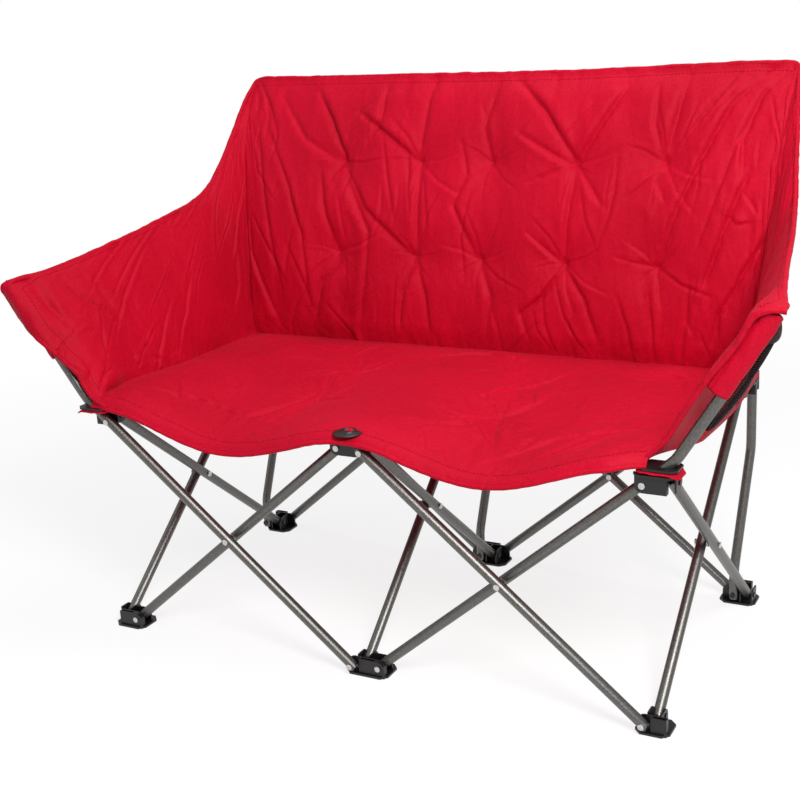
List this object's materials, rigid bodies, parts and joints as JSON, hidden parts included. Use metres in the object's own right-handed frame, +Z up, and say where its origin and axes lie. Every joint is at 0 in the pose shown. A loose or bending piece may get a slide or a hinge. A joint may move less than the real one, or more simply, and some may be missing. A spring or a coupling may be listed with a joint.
{
  "type": "folding camping loveseat",
  "caption": "Folding camp loveseat: scissor frame of round steel tube on moulded feet, sliding rear collars, and a quilted tufted seat, back and sling arms",
  "frame": {"origin": "middle of the chair's outline, on the floor", "axes": "+X to the sitter's left hand side as seen from the front, which is the picture's right; +Y to the back; +Z up"},
  "size_m": [1.3926, 0.7002, 0.9775],
  "materials": {
    "tube_steel": "gunmetal hammertone coat on round steel tube",
    "rivet_steel": "plain bright rivets",
    "moulded_plastic": "black moulded plastic",
    "seat_fabric": "padded red woven polyester with sewn tufts",
    "pocket_mesh": "black mesh with a bound edge"
  },
  "bodies": {
    "front_center_foot": {"front_center_foot": "moulded_plastic", "front_center_foot_outer_rivet": "rivet_steel", "front_center_foot_inner_rivet": "rivet_steel"},
    "left_arm_leg": {"left_arm_leg": "tube_steel", "left_arm_plug": "moulded_plastic", "left_corner_plate": "moulded_plastic", "left_corner_tab": "seat_fabric", "left_arm_pad": "seat_fabric", "left_mesh_pocket": "pocket_mesh", "front_left_cross_rivet": "rivet_steel"},
    "right_arm_leg": {"right_arm_leg": "tube_steel", "right_arm_plug": "moulded_plastic", "right_corner_plate": "moulded_plastic", "right_corner_tab": "seat_fabric", "right_arm_pad": "seat_fabric", "right_mesh_pocket": "pocket_mesh", "front_right_cross_rivet": "rivet_steel"},
    "front_left_right_leaning_leg": {"front_left_right_leaning_leg": "tube_steel"},
    "front_right_left_leaning_leg": {"front_right_left_leaning_leg": "tube_steel"},
    "front_left_hub": {"front_left_hub": "moulded_plastic", "front_left_hub_outer_rivet": "rivet_steel"},
    "front_left_foot": {"front_left_foot": "moulded_plastic", "front_left_foot_inner_rivet": "rivet_steel"},
    "front_right_hub": {"front_right_hub": "moulded_plastic", "front_right_hub_inner_rivet": "rivet_steel"},
    "front_right_foot": {"front_right_foot": "moulded_plastic", "front_right_foot_outer_rivet": "rivet_steel"},
    "front_center_hub": {"front_center_hub": "moulded_plastic", "front_center_hub_outer_rivet": "rivet_steel", "front_center_hub_inner_rivet": "rivet_steel", "seat_pad": "seat_fabric", "seat_cap": "moulded_plastic"},
    "left_side_back_leaning_leg": {"left_side_back_leaning_leg": "tube_steel", "left_side_cross_rivet": "rivet_steel"},
    "left_side_front_leaning_leg": {"left_side_front_leaning_leg": "tube_steel"},
    "rear_left_collar": {"rear_left_collar": "moulded_plastic"},
    "rear_left_foot": {"rear_left_foot": "moulded_plastic", "rear_left_upright": "tube_steel", "rear_left_upright_plug": "moulded_plastic"},
    "center_side_back_leaning_leg": {"center_side_back_leaning_leg": "tube_steel", "center_side_cross_rivet": "rivet_steel"},
    "center_side_front_leaning_leg": {"center_side_front_leaning_leg": "tube_steel"},
    "rear_center_collar": {"rear_center_collar": "moulded_plastic"},
    "rear_center_foot": {"rear_center_foot": "moulded_plastic", "rear_center_upright": "tube_steel", "rear_center_upright_plug": "moulded_plastic", "back_pad": "seat_fabric"},
    "right_side_back_leaning_leg": {"right_side_back_leaning_leg": "tube_steel", "right_side_cross_rivet": "rivet_steel"},
    "right_side_front_leaning_leg": {"right_side_front_leaning_leg": "tube_steel"},
    "rear_right_collar": {"rear_right_collar": "moulded_plastic"},
    "rear_right_foot": {"rear_right_foot": "moulded_plastic", "rear_right_upright": "tube_steel", "rear_right_upright_plug": "moulded_plastic"},
    "rear_right_right_leaning_leg": {"rear_right_right_leaning_leg": "tube_steel", "rear_right_cross_rivet": "rivet_steel"},
    "rear_right_left_leaning_leg": {"rear_right_left_leaning_leg": "tube_steel"},
    "rear_left_left_leaning_leg": {"rear_left_left_leaning_leg": "tube_steel", "rear_left_cross_rivet": "rivet_steel"},
    "rear_left_right_leaning_leg": {"rear_left_right_leaning_leg": "tube_steel"}
  },
  "joints": [
    {"name": "fold", "type": "hinge", "parent": "front_center_foot", "child": "left_arm_leg", "pos_m": [-0.025, -0.3241, 0.018], "axis": [0, 1, 0], "range_deg": [0, 40], "deforming": ["seat_pad", "back_pad", "left_arm_pad", "right_arm_pad", "left_mesh_pocket", "right_mesh_pocket", "left_corner_tab", "right_corner_tab"]},
    {"name": "front_left_scissor", "type": "hinge", "parent": "left_arm_leg", "child": "front_left_right_leaning_leg", "pos_m": [-0.265, -0.3132, 0.218], "axis": [0, -1, 0], "range_deg": [0, 80]},
    {"name": "front_left_hub_turn", "type": "hinge", "parent": "left_arm_leg", "child": "front_left_hub", "pos_m": [-0.505, -0.3241, 0.418], "axis": [0, -1, 0], "range_deg": [0, 40]},
    {"name": "front_left_foot_turn", "type": "hinge", "parent": "front_left_right_leaning_leg", "child": "front_left_foot", "pos_m": [-0.505, -0.3023, 0.018], "axis": [0, 1, 0], "range_deg": [0, 40]},
    {"name": "front_center_hub_turn", "type": "hinge", "parent": "front_left_right_leaning_leg", "child": "front_center_hub", "pos_m": [-0.025, -0.3023, 0.418], "axis": [0, 1, 0], "range_deg": [0, 40]},
    {"name": "right_arm_leg_turn", "type": "hinge", "parent": "front_center_foot", "child": "right_arm_leg", "pos_m": [0.025, -0.3023, 0.018], "axis": [0, -1, 0], "range_deg": [0, 40]},
    {"name": "front_right_scissor", "type": "hinge", "parent": "right_arm_leg", "child": "front_right_left_leaning_leg", "pos_m": [0.265, -0.3132, 0.218], "axis": [0, 1, 0], "range_deg": [0, 80]},
    {"name": "front_right_hub_turn", "type": "hinge", "parent": "right_arm_leg", "child": "front_right_hub", "pos_m": [0.505, -0.3023, 0.418], "axis": [0, 1, 0], "range_deg": [0, 40]},
    {"name": "front_right_foot_turn", "type": "hinge", "parent": "front_right_left_leaning_leg", "child": "front_right_foot", "pos_m": [0.505, -0.3241, 0.018], "axis": [0, -1, 0], "range_deg": [0, 40]},
    {"name": "center_side_turn", "type": "hinge", "parent": "front_center_foot", "child": "center_side_back_leaning_leg", "pos_m": [-0.0109, -0.2882, 0.018], "axis": [1, 0, 0], "range_deg": [0, 40]},
    {"name": "center_side_scissor", "type": "hinge", "parent": "center_side_back_leaning_leg", "child": "center_side_front_leaning_leg", "pos_m": [0, -0.0482, 0.218], "axis": [-1, 0, 0], "range_deg": [0, 80]},
    {"name": "rear_center_collar_turn", "type": "hinge", "parent": "center_side_back_leaning_leg", "child": "rear_center_collar", "pos_m": [-0.0109, 0.1918, 0.418], "axis": [-1, 0, 0], "range_deg": [0, 40]},
    {"name": "rear_center_foot_turn", "type": "hinge", "parent": "center_side_front_leaning_leg", "child": "rear_center_foot", "pos_m": [0.0109, 0.1918, 0.018], "axis": [1, 0, 0], "range_deg": [0, 40]},
    {"name": "left_side_turn", "type": "hinge", "parent": "front_left_foot", "child": "left_side_back_leaning_leg", "pos_m": [-0.5409, -0.2882, 0.018], "axis": [1, 0, 0], "range_deg": [0, 40]},
    {"name": "left_side_scissor", "type": "hinge", "parent": "left_side_back_leaning_leg", "child": "left_side_front_leaning_leg", "pos_m": [-0.53, -0.0482, 0.218], "axis": [-1, 0, 0], "range_deg": [0, 80]},
    {"name": "rear_left_collar_turn", "type": "hinge", "parent": "left_side_back_leaning_leg", "child": "rear_left_collar", "pos_m": [-0.5409, 0.1918, 0.418], "axis": [-1, 0, 0], "range_deg": [0, 40]},
    {"name": "rear_left_foot_turn", "type": "hinge", "parent": "left_side_front_leaning_leg", "child": "rear_left_foot", "pos_m": [-0.5191, 0.1918, 0.018], "axis": [1, 0, 0], "range_deg": [0, 40]},
    {"name": "right_side_turn", "type": "hinge", "parent": "front_right_foot", "child": "right_side_back_leaning_leg", "pos_m": [0.5191, -0.2882, 0.018], "axis": [1, 0, 0], "range_deg": [0, 40]},
    {"name": "right_side_scissor", "type": "hinge", "parent": "right_side_back_leaning_leg", "child": "right_side_front_leaning_leg", "pos_m": [0.53, -0.0482, 0.218], "axis": [-1, 0, 0], "range_deg": [0, 80]},
    {"name": "rear_right_collar_turn", "type": "hinge", "parent": "right_side_back_leaning_leg", "child": "rear_right_collar", "pos_m": [0.5191, 0.1918, 0.418], "axis": [-1, 0, 0], "range_deg": [0, 40]},
    {"name": "rear_right_foot_turn", "type": "hinge", "parent": "right_side_front_leaning_leg", "child": "rear_right_foot", "pos_m": [0.5409, 0.1918, 0.018], "axis": [1, 0, 0], "range_deg": [0, 40]},
    {"name": "rear_right_leg_turn", "type": "hinge", "parent": "rear_center_foot", "child": "rear_right_right_leaning_leg", "pos_m": [0.025, 0.2277, 0.018], "axis": [0, -1, 0], "range_deg": [0, 40]},
    {"name": "rear_right_scissor", "type": "hinge", "parent": "rear_right_right_leaning_leg", "child": "rear_right_left_leaning_leg", "pos_m": [0.265, 0.2168, 0.218], "axis": [0, 1, 0], "range_deg": [0, 80]},
    {"name": "rear_left_leg_turn", "type": "hinge", "parent": "rear_center_foot", "child": "rear_left_left_leaning_leg", "pos_m": [-0.025, 0.2059, 0.018], "axis": [0, 1, 0], "range_deg": [0, 40]},
    {"name": "rear_left_scissor", "type": "hinge", "parent": "rear_left_left_leaning_leg", "child": "rear_left_right_leaning_leg", "pos_m": [-0.265, 0.2168, 0.218], "axis": [0, -1, 0], "range_deg": [0, 80]}
  ],
  "couplings": [
    {"joint": "front_left_scissor", "follows": "fold", "ratio": 2},
    {"joint": "front_left_hub_turn", "follows": "fold", "ratio": 1},
    {"joint": "front_left_foot_turn", "follows": "fold", "ratio": 1},
    {"joint": "front_center_hub_turn", "follows": "fold", "ratio": 1},
    {"joint": "right_arm_leg_turn", "follows": "fold", "ratio": 1},
    {"joint": "front_right_scissor", "follows": "fold", "ratio": 2},
    {"joint": "front_right_hub_turn", "follows": "fold", "ratio": 1},
    {"joint": "front_right_foot_turn", "follows": "fold", "ratio": 1},
    {"joint": "center_side_turn", "follows": "fold", "ratio": 1},
    {"joint": "center_side_scissor", "follows": "fold", "ratio": 2},
    {"joint": "rear_center_collar_turn", "follows": "fold", "ratio": 1},
    {"joint": "rear_center_foot_turn", "follows": "fold", "ratio": 1},
    {"joint": "left_side_turn", "follows": "fold", "ratio": 1},
    {"joint": "left_side_scissor", "follows": "fold", "ratio": 2},
    {"joint": "rear_left_collar_turn", "follows": "fold", "ratio": 1},
    {"joint": "rear_left_foot_turn", "follows": "fold", "ratio": 1},
    {"joint": "right_side_turn", "follows": "fold", "ratio": 1},
    {"joint": "right_side_scissor", "follows": "fold", "ratio": 2},
    {"joint": "rear_right_collar_turn", "follows": "fold", "ratio": 1},
    {"joint": "rear_right_foot_turn", "follows": "fold", "ratio": 1},
    {"joint": "rear_right_leg_turn", "follows": "fold", "ratio": 1},
    {"joint": "rear_right_scissor", "follows": "fold", "ratio": 2},
    {"joint": "rear_left_leg_turn", "follows": "fold", "ratio": 1},
    {"joint": "rear_left_scissor", "follows": "fold", "ratio": 2}
  ]
}
